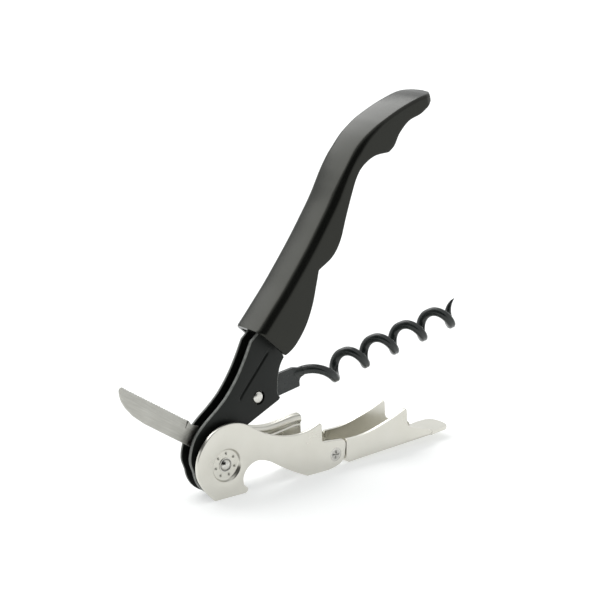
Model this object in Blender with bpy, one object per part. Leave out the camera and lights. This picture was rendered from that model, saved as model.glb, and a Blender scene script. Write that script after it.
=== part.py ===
# Lever corkscrew with a hinged two-step lever, standing open on its lever.
# Drawing coordinates are millimetres: x forward from the main rivet, z up from the surface
# it stands on, y across (left side is -y). The origin is the middle of the rest face under
# the lever, REST_X in front of the main rivet.
import math

import bpy
import bmesh
from mathutils import Vector

for item in list(bpy.data.objects):
    bpy.data.objects.remove(item, do_unlink=True)

# ---- driving dimensions, mm and degrees -------------------------------------------------
SIZE = 1.0                # overall multiplier
MM = 0.001 * SIZE
REST_X = 29.7             # main rivet to the middle of the rest face
PIVOT_Z = 8.75            # main rivet height
WALL_OUT = 5.05           # lever walls, outer face from the middle plane
SHEET = 0.9               # lever and frame sheet thickness
DISH_R = 4.65             # dished ring round the main rivet
DISH_DEPTH = 0.95
ROUND_LUG_R = 6.5         # right arm's plain round end
HINGE = (35.6, 3.9)       # second stage hinge
WEB_START, WEB_END = 26.2, 33.2
FLANGE_IN = 2.95          # inner edge of the rolled ledge flanges
PLATE_IN = 1.45           # frame plates, inner face
FRAME_R = 8.4             # frame's round end about the main rivet
WORM_PIN = (12.2, 23.7)
WORM_ANGLE = 10.4         # worm's direction as it stands
WORM_OFFSET = -2.35       # screw axis below the pin's line
WIRE_R = 1.25
COIL_R = 2.75             # wire centre to screw axis
PITCH = 10.5
COIL_START, WORM_TIP = 21.5, 73.0
COIL_EASE = 6.0           # the coil's turn grows over this much on both sides of its start
TANG_HALF = 0.55          # half thickness of the flattened tang
BLADE_PIN = (-2.5, 14.0)
BLADE_ANGLE = 147.0
BLADE_HALF = 0.4
BLADE_LEN = 32.4
GRIP_HALF = 5.8           # grip, half width
GRIP_WALL = 1.2
SPINE_WALL = 1.4
GRIP_EDGE_R = 1.6
TIP_NARROW = (0.0, 0.05, 0.7, 2.4, 4.4)   # taken off each side at the last stations
RIVET_R = 1.5
PIN_R = 1.6
GAP = 0.3                 # running clearance round pins


def arc(centre, radius, start, end, count):
    """Points on a circle between two angles in degrees."""
    out = []
    for i in range(count + 1):
        a = math.radians(start + (end - start) * i / count)
        out.append((centre[0] + radius * math.cos(a), centre[1] + radius * math.sin(a)))
    return out


def world(x, y, z):
    return Vector(((x - REST_X) * MM, y * MM, z * MM))


def material(name, colour, metallic, roughness):
    mat = bpy.data.materials.new(name)
    mat.use_nodes = True
    shader = mat.node_tree.nodes["Principled BSDF"]
    shader.inputs["Base Color"].default_value = (*colour, 1.0)
    shader.inputs["Metallic"].default_value = metallic
    shader.inputs["Roughness"].default_value = roughness
    return mat


def axis_empty(name, x, z, parent=None):
    """An empty on a joint's axis, which runs along y."""
    empty = bpy.data.objects.new(name, None)
    bpy.context.scene.collection.objects.link(empty)
    empty["at"] = (x, z)
    if parent:
        empty.parent = parent
        empty.location = world(x, 0, z) - world(parent["at"][0], 0, parent["at"][1])
    else:
        empty.location = world(x, 0, z)
    return empty


def finish(name, bm, mat, axis, smooth=None):
    """Turns a bmesh in world metres into an object whose origin is on its axis."""
    bmesh.ops.remove_doubles(bm, verts=bm.verts, dist=1e-7)
    bmesh.ops.recalc_face_normals(bm, faces=bm.faces)
    at = world(axis["at"][0], 0, axis["at"][1])
    bmesh.ops.translate(bm, verts=bm.verts, vec=-at)
    mesh = bpy.data.meshes.new(name)
    bm.to_mesh(mesh)
    bm.free()
    if smooth:
        mesh.shade_smooth()
        mesh.set_sharp_from_angle(angle=math.radians(smooth))
    obj = bpy.data.objects.new(name, mesh)
    bpy.context.scene.collection.objects.link(obj)
    obj.parent = axis
    if mat:
        mesh.materials.append(mat)
    return obj


def prism_mesh(loops, y0, y1):
    """Extrudes an outline (first loop) with holes (other loops) across y."""
    bm = bmesh.new()
    edges = []
    for loop in loops:
        verts = [bm.verts.new(world(x, y0, z)) for x, z in loop]
        edges += [bm.edges.new((verts[i - 1], verts[i])) for i in range(len(verts))]
    bmesh.ops.triangle_fill(bm, use_beauty=True, edges=edges)
    faces = list(bm.faces)
    grown = bmesh.ops.extrude_face_region(bm, geom=faces)
    tops = [g for g in grown["geom"] if isinstance(g, bmesh.types.BMVert)]
    bmesh.ops.translate(bm, verts=tops, vec=Vector((0, (y1 - y0) * MM, 0)))
    return bm


def prism(name, loops, y0, y1, mat, axis, smooth=None):
    return finish(name, prism_mesh(loops, y0, y1), mat, axis, smooth)


def loft_mesh(rings):
    """Joins equal rings of world points into one closed skin with flat ends."""
    bm = bmesh.new()
    rows = [[bm.verts.new(p) for p in ring] for ring in rings]
    count = len(rows[0])
    for a, b in zip(rows, rows[1:]):
        for i in range(count):
            j = (i + 1) % count
            bm.faces.new((a[i], a[j], b[j], b[i]))
    bm.faces.new(rows[0][::-1])
    bm.faces.new(rows[-1])
    return bm


def turned_mesh(x, z, profile, count=20):
    """A turned piece about a y axis; profile is (y, radius) from end to end."""
    rings = []
    for y, r in profile:
        rings.append([world(x + r * math.cos(math.tau * i / count), y,
                            z + r * math.sin(math.tau * i / count)) for i in range(count)])
    return loft_mesh(rings)


def turned(name, x, z, profile, mat, axis, count=20):
    return finish(name, turned_mesh(x, z, profile, count), mat, axis, smooth=35)


def washer(name, x, z, inner, outer, y0, y1, mat, axis):
    return prism(name, [arc((x, z), outer, 0, 345, 23), arc((x, z), inner, 0, 340, 17)],
                 y0, y1, mat, axis, smooth=35)


def boolean(obj, tool, operation):
    tool.hide_render = True
    tool.display_type = "WIRE"
    mod = obj.modifiers.new(tool.name, "BOOLEAN")
    mod.operation = operation
    mod.solver = "EXACT"
    mod.object = tool


# ---- lever, first stage -----------------------------------------------------------------
def ledge_line():
    """Top edge of the first stage from the disc to the ledge's point."""
    return [(8.7, 16.8), (12.0, 14.9), (16.1, 13.3), (19.9, 12.4), (23.7, 12.1), (27.3, 12.7)]


def fork_end():
    """Ledge point, fork top and the fork's end, rounded about the hinge, to the web."""
    hx, hz = HINGE
    return [(30.3, 13.7), (30.9, 13.2), (31.1, 8.7), (31.5, 8.2), (hx + 2.6, 7.6),
            (hx + 3.3, 6.9)] + arc(HINGE, 3.35, 0, -75, 6) + [(hx - 1.0, 0.2),
            (WEB_END, 0.0), (WEB_START, 0.0), (WEB_START - 0.8, 0.15), (21.0, 2.5), (16.8, 4.9)]


def right_ledge_line():
    """The right arm's top edge: it runs straighter and higher than the left one."""
    return [(12.0, 14.8), (15.0, 13.9), (18.0, 13.35), (20.5, 13.3), (23.2, 13.55),
            (26.0, 13.9), (28.5, 14.3)]


def left_arm_outline():
    disc = [(-3.8, 0.0), (-7.3, 4.0), (-9.0, 7.2), (-9.3, 10.0), (-8.7, 12.8), (-7.2, 15.4),
            (-3.9, 18.4), (0.4, 19.6), (3.3, 19.4), (5.8, 18.6)]
    arch = [(13.9, 6.7), (11.6, 7.6), (9.6, 7.9), (7.6, 7.3), (6.0, 6.0), (5.2, 4.2),
            (5.5, 2.3), (6.7, 1.2), (6.6, 0.5), (6.0, 0.0)]
    return disc + ledge_line() + fork_end() + arch


def right_arm_outline():
    lug = arc((0, PIVOT_Z), ROUND_LUG_R, 300, 60, 12)
    return lug + [(8.0, 14.9)] + right_ledge_line() + fork_end() + [
        (12.5, 6.0), (8.0, 4.6)]


def lever_stage_one(mat, axis):
    hole = RIVET_R + GAP
    sides = []
    for side, outline in ((-1, left_arm_outline()), (1, right_arm_outline())):
        ys = sorted((side * (WALL_OUT - SHEET), side * WALL_OUT))
        sides.append(prism("lever_stage_one" if side < 0 else "right_arm_tool",
                           [outline], *ys, mat, axis))
    body = sides[0]
    boolean(body, sides[1], "UNION")
    web = prism("web_tool", [[(WEB_START, 0), (WEB_END - 0.6, 0), (WEB_END - 0.6, SHEET),
                              (WEB_START, SHEET)]], -WALL_OUT + 0.4, WALL_OUT - 0.4, None, axis)
    boolean(body, web, "UNION")
    lines = {-1: [(13.6, 14.2)] + ledge_line()[2:] + [(30.4, 13.6)],
             1: [(13.6, 14.2)] + right_ledge_line()[1:] + [(30.2, 13.95)]}
    for side, line in lines.items():
        section = [(4.7, -0.1), (3.6, -0.5), (3.2, -1.3), (3.3, -2.5), (FLANGE_IN, -3.4),
                   (3.5, -3.6), (4.1, -2.3), (4.1, -1.6), (4.7, -1.2)]
        rings = [[world(x, side * y, z + dz) for y, dz in section] for x, z in line]
        roll = finish("roll_tool_%d" % side, loft_mesh(rings), None, axis)
        boolean(body, roll, "UNION")
        floor = WALL_OUT - DISH_DEPTH
        inner = floor - SHEET + 0.05
        boss = finish("boss_tool_%d" % side, turned_mesh(0, PIVOT_Z, [
            (side * inner, DISH_R + 0.2), (side * (WALL_OUT - 0.4), DISH_R + 0.6)], 28), None, axis)
        boolean(body, boss, "UNION")
        dish = finish("dish_tool_%d" % side, turned_mesh(0, PIVOT_Z, [
            (side * floor, DISH_R - 0.35), (side * (WALL_OUT + 1), DISH_R + 0.35)], 28), None, axis)
        boolean(body, dish, "DIFFERENCE")
    for name, (x, z), r in (("main_hole_tool", (0, PIVOT_Z), hole),
                            ("hinge_hole_tool", HINGE, PIN_R - 0.1 + GAP)):
        drill = finish(name, turned_mesh(x, z, [(-9, r), (9, r)], 20), None, axis)
        boolean(body, drill, "DIFFERENCE")
    return body


# ---- lever, second stage ----------------------------------------------------------------
def stage_two_outline():
    hx, hz = HINGE
    return [(hx + 3.75, 7.3), (44.4, 7.3), (48.0, 7.9), (51.6, 8.8), (56.0, 10.1), (60.0, 11.6),
            (60.7, 11.0), (60.8, 7.3), (61.4, 6.3), (66.0, 4.8), (69.9, 3.3), (70.0, 1.75),
            (41.2, 0.45), (hx + 5.0, 0.55), (hx + 4.1, 1.6), (hx + 3.7, 3.4)]


def lever_stage_two(mat, axis):
    hx, hz = HINGE
    body = prism("lever_stage_two", [stage_two_outline()], -WALL_OUT, -WALL_OUT + SHEET, mat, axis)
    right = prism("right_wall_tool", [stage_two_outline()], WALL_OUT - SHEET, WALL_OUT, None, axis)
    boolean(body, right, "UNION")
    rings = []
    tongue = [(41.0, 0.5, 4.6), (56.0, 1.17, 4.6), (69.8, 1.8, 4.6), (73.0, 1.95, 4.35),
              (76.2, 2.1, 4.0), (77.2, 2.15, 3.3), (77.8, 2.18, 1.8)]
    for x, z, half in tongue:
        rings.append([world(x, -half, z), world(x, half, z), world(x, half, z + SHEET),
                      world(x, -half, z + SHEET)])
    boolean(body, finish("tongue_tool", loft_mesh(rings), None, axis), "UNION")
    lug_out = WALL_OUT - SHEET - 0.35
    for side in (-1, 1):
        ys = sorted((side * lug_out, side * (lug_out - SHEET)))
        lug = prism("lug_tool_%d" % side, [arc(HINGE, 2.9, 60, 290, 12) + [
            (hx + 5.4, 1.6), (hx + 5.4, 4.6), (hx + 3.0, 4.8)]], *ys, None, axis)
        boolean(body, lug, "UNION")
        ys = sorted((side * (lug_out - SHEET + 0.1), side * (WALL_OUT - 0.3)))
        step = prism("step_tool_%d" % side, [[(hx + 3.9, 2.0), (hx + 5.2, 1.9), (hx + 5.2, 4.4),
                                              (hx + 3.9, 4.4)]], *ys, None, axis)
        boolean(body, step, "UNION")
    drill = finish("lug_hole_tool", turned_mesh(hx, hz, [(-9, 1.6), (9, 1.6)], 20), None, axis)
    boolean(body, drill, "DIFFERENCE")
    return body


# ---- frame ------------------------------------------------------------------------------
FRAME_RIVETS = ((18.6, 44.5), (21.3, 48.0))


def frame_outline():
    back = [(-8.9, 8.0), (-9.4, 11.0), (-9.0, 14.0), (-7.9, 16.8), (-5.3, 19.6), (-0.7, 23.3),
            (1.6, 25.4), (3.7, 27.9), (5.9, 31.1), (7.6, 34.2), (9.9, 39.0)]
    tab = [(11.6, 40.4), (13.8, 42.5), (16.9, 46.4), (19.8, 50.0), (23.6, 48.8), (21.0, 44.1),
           (17.6, 37.6), (19.6, 34.9)]
    front = [(20.5, 33.0), (19.5, 31.5), (18.7, 28.9), (18.4, 26.1), (18.6, 23.3), (19.3, 22.3),
             (18.7, 21.7), (8.7, 17.1), (7.4, 15.6), (7.3, 13.6)]
    return back + tab + front + arc((0, PIVOT_Z), FRAME_R, 20, -150, 14)


def frame_plates(mat, axis):
    holes = [arc((0, PIVOT_Z), RIVET_R + GAP, 0, 340, 17), arc(WORM_PIN, PIN_R + GAP, 0, 340, 17),
             arc(BLADE_PIN, 1.55, 0, 336, 14)]
    holes += [arc(at, 1.2, 0, 330, 11) for at in FRAME_RIVETS]
    for name, side in (("frame_plate_left", -1), ("frame_plate_right", 1)):
        ys = sorted((side * PLATE_IN, side * (PLATE_IN + SHEET)))
        prism(name, [frame_outline()] + holes, *ys, mat, axis)


def frame_spacer(mat, axis):
    block = [(15.2, 43.0), (18.0, 41.4), (20.6, 44.1), (23.0, 48.4), (20.0, 49.4), (17.3, 46.2)]
    prism("frame_spacer", [block] + [arc(at, 1.2, 0, 330, 11) for at in FRAME_RIVETS],
          -PLATE_IN + GAP, PLATE_IN - GAP, mat, axis)


# ---- grip -------------------------------------------------------------------------------
def grip_stations():
    """Pairs of points: the spine's surface, and the finger edge opposite it."""
    return [((10.3, 41.9), (17.9, 35.1)), ((12.2, 44.0), (21.6, 36.8)), ((15.5, 47.8), (25.0, 41.1)),
            ((18.6, 51.4), (27.2, 46.3)), ((21.5, 55.1), (28.4, 51.2)), ((24.4, 58.9), (29.3, 55.3)),
            ((27.4, 63.0), (33.8, 58.2)), ((30.0, 66.8), (36.4, 62.1)), ((33.3, 71.8), (38.2, 67.9)),
            ((36.0, 76.4), (40.1, 73.7)), ((38.4, 80.4), (41.8, 78.0)), ((41.2, 84.4), (43.9, 80.7)),
            ((44.6, 87.9), (47.7, 82.8)), ((48.6, 90.7), (52.6, 83.3)), ((51.6, 92.3), (54.4, 84.8)),
            ((54.6, 93.7), (56.2, 87.9)), ((58.0, 95.1), (59.4, 90.8)), ((62.5, 96.6), (63.4, 92.2)),
            ((65.2, 97.2), (66.1, 93.9)), ((66.9, 97.4), (67.4, 95.2)), ((68.2, 97.5), (68.5, 96.3)),
            ((68.9, 97.45), (69.0, 96.9))]


def grip_section(spine, finger, narrow):
    """Outer section: flat across the spine, rounded edges, flat sides to the finger edge."""
    run = Vector((finger[0] - spine[0], finger[1] - spine[1]))
    depth = run.length
    run.normalize()
    half = GRIP_HALF - narrow
    r = min(GRIP_EDGE_R, depth * 0.6)
    flat = [(half, depth)] + [(half - r + r * math.cos(a), r - r * math.sin(a))
                              for a in (math.radians(d) for d in (0, 30, 60, 90))]
    ring = flat + [(-y, t) for y, t in reversed(flat)]
    return [world(spine[0] + run.x * t, y, spine[1] + run.y * t) for y, t in ring]


def grip_shell(mat, axis):
    stations = grip_stations()
    narrow = [0.0] * (len(stations) - len(TIP_NARROW)) + list(TIP_NARROW)
    rings = [grip_section(s, f, n) for (s, f), n in zip(stations, narrow)]
    body = finish("grip_shell", loft_mesh(rings), mat, axis, smooth=40)
    inner = GRIP_HALF - GRIP_WALL
    cut = []
    first = stations[0]
    ahead = Vector((first[0][0] - stations[1][0][0], first[0][1] - stations[1][0][1])) * 2
    lead = ((first[0][0] + ahead.x, first[0][1] + ahead.y),
            (first[1][0] + ahead.x, first[1][1] + ahead.y))
    pairs = [lead] + stations[:17]
    between = [[tuple(p + (q - p) * 0.4 for p, q in zip(a, b)) for a, b in zip(one, two)]
               for one, two in zip(pairs, pairs[1:])]
    for spine, finger in between:
        run = Vector((finger[0] - spine[0], finger[1] - spine[1]))
        depth = run.length
        run.normalize()
        ring = [(inner, depth + 4), (inner, SPINE_WALL + 0.8), (inner - 0.8, SPINE_WALL),
                (0.8 - inner, SPINE_WALL), (-inner, SPINE_WALL + 0.8), (-inner, depth + 4)]
        cut.append([world(spine[0] + run.x * t, y, spine[1] + run.y * t) for y, t in ring])
    boolean(body, finish("grip_channel_tool", loft_mesh(cut), None, axis), "DIFFERENCE")
    block = [(12.8, 43.3), (14.7, 41.6), (18.6, 41.5), (21.4, 45.0), (24.5, 50.8), (20.0, 51.5)]
    for side in (-1, 1):
        ys = sorted((side * (PLATE_IN + SHEET + GAP), side * (inner + 0.2)))
        boolean(body, prism("rib_tool_%d" % side, [block], *ys, None, axis), "UNION")
    for i, (x, z) in enumerate(FRAME_RIVETS):
        drill = finish("rib_hole_tool_%d" % i, turned_mesh(x, z, [(-3.9, 1.2), (3.9, 1.2)], 12),
                       None, axis)
        boolean(body, drill, "DIFFERENCE")
    return body


# ---- worm -------------------------------------------------------------------------------
def worm_world(a, f, y):
    """a along the screw from the pin, f up from the pin's line."""
    t = math.radians(WORM_ANGLE)
    return world(WORM_PIN[0] + a * math.cos(t) - f * math.sin(t), y,
                 WORM_PIN[1] + a * math.sin(t) + f * math.cos(t))


def worm_centre(a):
    """Wire's centre line: it leaves the tang high and eases into a right-handed coil."""
    past = a - COIL_START
    eased = max(0.0, past + COIL_EASE) ** 2 / (4 * COIL_EASE) if past < COIL_EASE else past
    turn = -math.tau * eased / PITCH
    high = 0.45 * max(0.0, min(1.0, (COIL_START - a) / COIL_EASE))
    return Vector((a, WORM_OFFSET + high + COIL_R * math.cos(turn), COIL_R * math.sin(turn)))


def worm(mat, axis):
    first = 13.2
    count = int((WORM_TIP - first) / PITCH * 18) + 1
    steps = [first + (WORM_TIP - first) * i / count for i in range(count + 1)]
    rings = []
    for a in steps:
        centre = worm_centre(a)
        tangent = (worm_centre(a + 0.05) - worm_centre(a - 0.05)).normalized()
        away = Vector((0, centre.y - WORM_OFFSET, centre.z)).normalized()
        side = tangent.cross(away).normalized()
        away = side.cross(tangent)
        r = WIRE_R * min(1.0, max(0.12, (WORM_TIP - a) / 4.5)) ** 0.8
        rings.append([worm_world(*(centre + away * r * math.cos(q) + side * r * math.sin(q)))
                      for q in (math.tau * (i + 0.5) / 8 for i in range(8))])
    body = finish("worm", loft_mesh(rings), mat, axis, smooth=50)
    tang = arc((0, 0), 2.9, 90, 270, 10) + [(14.6, -2.9), (14.7, -1.5), (15.7, -0.6), (17.2, -0.4),
                                           (17.2, 1.5), (15.0, 2.1), (13.4, 2.7), (10.0, 2.9)]
    t = math.radians(WORM_ANGLE)
    loop = []
    for a, f in tang:
        loop.append((WORM_PIN[0] + a * math.cos(t) - f * math.sin(t),
                     WORM_PIN[1] + a * math.sin(t) + f * math.cos(t)))
    plate = prism("tang_tool", [loop, arc(WORM_PIN, PIN_R + GAP, 0, 340, 17)],
                  -TANG_HALF, TANG_HALF, None, axis)
    boolean(body, plate, "UNION")
    return body


# ---- blade ------------------------------------------------------------------------------
def foil_blade(mat, axis):
    """Straight cutting edge on the +w side, back curved to the point."""
    t = math.radians(BLADE_ANGLE)
    n = BLADE_LEN
    outline = [(n - 0.5, 2.83), (8.8, 2.83), (7.7, 2.3), (6.7, 2.35), (5.0, 2.75)]
    outline += arc((0, 0), 2.85, 70, 255, 12)
    outline += [(4.0, -2.8), (20.7, -2.75), (25.0, -2.3), (28.2, -1.35), (30.2, -0.3),
                (n - 1.0, 0.8), (n, 2.0)]
    loop = [(BLADE_PIN[0] + u * math.cos(t) + w * math.sin(t),
             BLADE_PIN[1] + u * math.sin(t) - w * math.cos(t)) for u, w in outline]
    return prism("foil_blade", [loop, arc(BLADE_PIN, 1.55, 0, 336, 14)],
                 -BLADE_HALF, BLADE_HALF, mat, axis)


def build():
    nickel = material("satin_nickel_plate", (0.72, 0.72, 0.69), 1.0, 0.3)
    bright = material("bright_rivet_steel", (0.75, 0.75, 0.74), 1.0, 0.22)
    black = material("black_coated_steel", (0.045, 0.048, 0.045), 0.3, 0.45)
    wire = material("non_stick_black_coating", (0.02, 0.028, 0.026), 0.0, 0.32)
    blade = material("brushed_blade_steel", (0.42, 0.43, 0.4), 1.0, 0.38)
    rubber = material("soft_touch_black", (0.035, 0.037, 0.033), 0.0, 0.62)

    lever = axis_empty("lever_axis", 0, PIVOT_Z)
    handle = axis_empty("handle_axis", 0, PIVOT_Z, lever)
    worm_axis = axis_empty("worm_axis", *WORM_PIN, handle)
    blade_axis = axis_empty("blade_axis", *BLADE_PIN, handle)
    second = axis_empty("stage_two_axis", *HINGE, lever)

    lever_stage_one(nickel, lever)
    floor = WALL_OUT - DISH_DEPTH
    head = [(floor + 0.75, 0.9), (floor + 0.65, 1.5), (floor + 0.35, 1.9), (floor + 0.3, 1.9),
            (floor + 0.3, RIVET_R)]
    turned("main_rivet", 0, PIVOT_Z, [(-y, r) for y, r in head] + head[::-1], bright, lever)
    for name, side in (("lever_washer_left", -1), ("lever_washer_right", 1)):
        ys = sorted((side * 2.65, side * 2.95))
        washer(name, 0, PIVOT_Z, RIVET_R + GAP, 4.0, *ys, bright, lever)
    head = [(WALL_OUT + 0.1, 1.3), (WALL_OUT, 1.5), (WALL_OUT - 0.65, 1.5), (WALL_OUT - 0.75, 1.25)]
    turned("hinge_rivet", *HINGE, [(-y, r) for y, r in head] + head[::-1], bright, lever, 16)
    lever_stage_two(nickel, second)

    frame_plates(black, handle)
    frame_spacer(black, handle)
    for name, (x, z) in zip(("frame_rivet_lower", "frame_rivet_upper"), FRAME_RIVETS):
        turned(name, x, z, [(-3.6, 0.7), (-3.4, 0.9), (3.4, 0.9), (3.6, 0.7)], bright, handle, 12)
    grip_shell(rubber, handle)
    turned("worm_pin", *WORM_PIN, [(-2.5, 1.1), (-2.3, PIN_R), (2.3, PIN_R), (2.5, 1.1)],
           bright, handle)
    turned("blade_pin", *BLADE_PIN, [(-2.45, 1.0), (-2.3, 1.25), (2.3, 1.25), (2.45, 1.0)],
           bright, handle, 16)
    for name, side in (("left", -1), ("right", 1)):
        ys = sorted((side * (TANG_HALF + GAP), side * (PLATE_IN - GAP)))
        washer("worm_washer_" + name, *WORM_PIN, PIN_R + GAP, 2.9, *ys, bright, handle)
        ys = sorted((side * (BLADE_HALF + GAP), side * (PLATE_IN - GAP)))
        washer("blade_washer_" + name, *BLADE_PIN, 1.55, 2.6, *ys, bright, handle)

    worm(wire, worm_axis)
    foil_blade(blade, blade_axis)


build()
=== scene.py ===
import math

import bmesh
import bpy
import numpy as np
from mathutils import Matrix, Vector
from mathutils.geometry import delaunay_2d_cdt


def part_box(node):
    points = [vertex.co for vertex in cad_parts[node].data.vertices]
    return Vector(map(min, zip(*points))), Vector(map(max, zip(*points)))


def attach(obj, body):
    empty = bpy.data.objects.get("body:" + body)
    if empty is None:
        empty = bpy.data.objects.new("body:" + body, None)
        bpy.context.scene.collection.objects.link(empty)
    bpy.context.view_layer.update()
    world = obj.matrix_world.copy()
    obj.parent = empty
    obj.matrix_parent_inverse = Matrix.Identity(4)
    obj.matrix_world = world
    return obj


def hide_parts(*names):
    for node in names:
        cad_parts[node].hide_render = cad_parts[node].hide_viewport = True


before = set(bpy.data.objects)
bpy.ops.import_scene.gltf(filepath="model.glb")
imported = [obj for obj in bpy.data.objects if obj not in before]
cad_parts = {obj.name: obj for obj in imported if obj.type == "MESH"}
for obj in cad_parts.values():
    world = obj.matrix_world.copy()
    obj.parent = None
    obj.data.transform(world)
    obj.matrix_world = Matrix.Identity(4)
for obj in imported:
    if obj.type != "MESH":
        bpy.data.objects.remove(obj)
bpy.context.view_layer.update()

mm = 0.001
rivetLow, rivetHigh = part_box("main_rivet")
hingeLow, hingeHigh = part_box("hinge_rivet")
wormPinLow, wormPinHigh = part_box("worm_pin")
bladePinLow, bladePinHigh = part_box("blade_pin")
originX = (rivetLow.x + rivetHigh.x) / 2      # the drawing's zero, the main rivet


def centreOf(low, high):
    # middle of a node's box, in drawing millimetres (x, z)
    return ((low.x + high.x) / 2 - originX) / mm, (low.z + high.z) / 2 / mm


pivot = centreOf(rivetLow, rivetHigh)
hinge = centreOf(hingeLow, hingeHigh)
wormPin = centreOf(wormPinLow, wormPinHigh)
bladePin = centreOf(bladePinLow, bladePinHigh)
print("frame loaded, main rivet at", [round(v, 2) for v in pivot])


def place(points):
    # drawing millimetres (..., 3) to frame metres
    out = np.asarray(points, float) * mm
    out[..., 0] += originX
    return out


def cubicThrough(points, knots, t):
    # a cubic between each two points, whose slope at a point is the gradient through its
    # neighbours; t is read on the same scale as knots
    p, knots, t = np.asarray(points, float), np.asarray(knots, float), np.asarray(t, float)
    if len(p) < 3:
        slope = np.repeat((p[1:] - p[:1]) / (knots[1] - knots[0]), 2, axis=0)
    else:
        slope = np.gradient(p, knots, axis=0, edge_order=1)
    i = np.clip(np.searchsorted(knots, t, side="right") - 1, 0, len(p) - 2)
    h = (knots[i + 1] - knots[i])[:, None]
    f = (t - knots[i])[:, None] / h
    return ((1 + 2 * f) * (1 - f) ** 2 * p[i] + f * (1 - f) ** 2 * h * slope[i]
            + f ** 2 * (3 - 2 * f) * p[i + 1] + f ** 2 * (f - 1) * h * slope[i + 1])


def smoothRun(points, step=0.12):
    # the curve through the points, walked at equal steps of its chord length
    p = np.asarray(points, float)
    knots = np.concatenate([[0], np.cumsum(np.linalg.norm(np.diff(p, axis=0), axis=1))])
    return cubicThrough(p, knots, np.linspace(0, knots[-1], max(2, int(knots[-1] / step) + 1)))


def arcPoints(centre, radius, start, end, count):
    a = np.radians(np.linspace(start, end, count))
    return list(zip(centre[0] + radius * np.cos(a), centre[1] + radius * np.sin(a)))


def easedOutline(runs, easing=0.35, step=0.16):
    # smooth runs joined at corners and walked at equal steps; then each point becomes the
    # mean of its neighbours within easing, which turns every corner into a small round
    last, parts = runs[-1][-1], []
    for run in runs:
        parts.append(smoothRun([last] + list(run))[1:])
        last = run[-1]
    loop = np.concatenate(parts)
    ends = np.concatenate([loop, loop[:1]])
    along = np.concatenate([[0], np.cumsum(np.linalg.norm(np.diff(ends, axis=0), axis=1))])
    t = np.linspace(0, along[-1], int(along[-1] / step), endpoint=False)
    loop = np.stack([np.interp(t, along, ends[:, k]) for k in (0, 1)], axis=1)
    reach = max(1, int(easing / step / 2))
    for _ in range(2):
        loop = np.mean([np.roll(loop, k, axis=0) for k in range(-reach, reach + 1)], axis=0)
    nextPoint = np.roll(loop, -1, axis=0)
    area = np.sum(loop[:, 0] * nextPoint[:, 1] - nextPoint[:, 0] * loop[:, 1])
    return loop if area > 0 else loop[::-1]


def inwardOf(loop):
    # unit normals that point into a counter-clockwise outline
    along = np.roll(loop, -1, axis=0) - np.roll(loop, 1, axis=0)
    along /= np.linalg.norm(along, axis=1)[:, None]
    return np.stack([-along[:, 1], along[:, 0]], axis=1)


def gridFaces(rows, columns, closeRows=False, closeColumns=True):
    # quads between neighbouring rows and columns of a grid numbered row by row
    r = np.arange(rows if closeRows else rows - 1)
    c = np.arange(columns if closeColumns else columns - 1)
    r, c = np.meshgrid(r, c, indexing="ij")
    nextR, nextC = (r + 1) % rows, (c + 1) % columns
    quads = np.stack([r * columns + c, r * columns + nextC,
                      nextR * columns + nextC, nextR * columns + c], axis=-1)
    return quads.reshape(-1, 4).tolist()


def endCaps(rows, columns):
    # the two polygons that close a tube of sections
    return [list(range(columns)), list(range((rows - 1) * columns, rows * columns))[::-1]]


def mirrored(half):
    # (y, radius) of a turned piece's right half, carried over to the left
    half = np.asarray(half, float)
    return np.concatenate([half * (-1, 1), half[::-1]])


def newPiece(name, points, faces, closed=True, attributes=None):
    # a mesh object at the origin from drawing points, its doubles merged and faces outward
    mesh = bpy.data.meshes.new(name)
    mesh.from_pydata(place(points).reshape(-1, 3), [], faces)
    for key, values in (attributes or {}).items():
        layer = mesh.attributes.new(key, "FLOAT", "POINT")
        layer.data.foreach_set("value", np.asarray(values, np.float32).ravel())
    work = bmesh.new()
    work.from_mesh(mesh)
    bmesh.ops.remove_doubles(work, verts=work.verts, dist=2e-6)
    if closed:
        bmesh.ops.recalc_face_normals(work, faces=work.faces)
    work.to_mesh(mesh)
    work.free()
    mesh.polygons.foreach_set("use_smooth", np.full(len(mesh.polygons), True))
    piece = bpy.data.objects.new(name, mesh)
    bpy.context.scene.collection.objects.link(piece)
    return piece


def evenNormals(piece, sharp, flatSides=False):
    # a sheet's two broad faces are shaded flat and its rounds smooth; any other piece has
    # its normals weighted towards its larger faces; edges past the sharp angle stay sharp
    mesh = piece.data
    if flatSides:
        facesAlongY = 0.9995                      # least y of a broad face's normal
        normals = np.empty(len(mesh.polygons) * 3)
        mesh.polygons.foreach_get("normal", normals)
        mesh.polygons.foreach_set("use_smooth", np.abs(normals[1::3]) < facesAlongY)
    mesh.set_sharp_from_angle(angle=math.radians(sharp))
    if not flatSides:
        even = piece.modifiers.new("evenNormals", "WEIGHTED_NORMAL")
        even.weight = 80
        even.keep_sharp = True
    return piece


def joinTools(piece, *tools):
    # tools are (object, operation); each is cut or added, and the result becomes the mesh
    for tool, operation in tools:
        step = piece.modifiers.new("step", "BOOLEAN")
        step.object, step.operation, step.solver = tool, operation, "EXACT"
    bpy.context.view_layer.update()
    final = bpy.data.meshes.new_from_object(
        piece.evaluated_get(bpy.context.evaluated_depsgraph_get()))
    piece.modifiers.clear()
    old = piece.data
    piece.data = final
    bpy.data.meshes.remove(old)
    final.name = piece.name
    for tool, _ in tools:
        bpy.data.objects.remove(tool)
    return piece


def insideLoop(points, loop):
    # a point is inside when a ray towards +x crosses the loop an odd number of times
    a, b = loop, np.roll(loop, -1, axis=0)
    x, z = points[:, :1], points[:, 1:]
    run = np.where(a[:, 1] == b[:, 1], 1.0, b[:, 1] - a[:, 1])
    at = a[:, 0] + (z - a[:, 1]) * (b[:, 0] - a[:, 0]) / run
    return np.sum(((a[:, 1] > z) != (b[:, 1] > z)) & (x < at), axis=1) % 2 == 1


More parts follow.
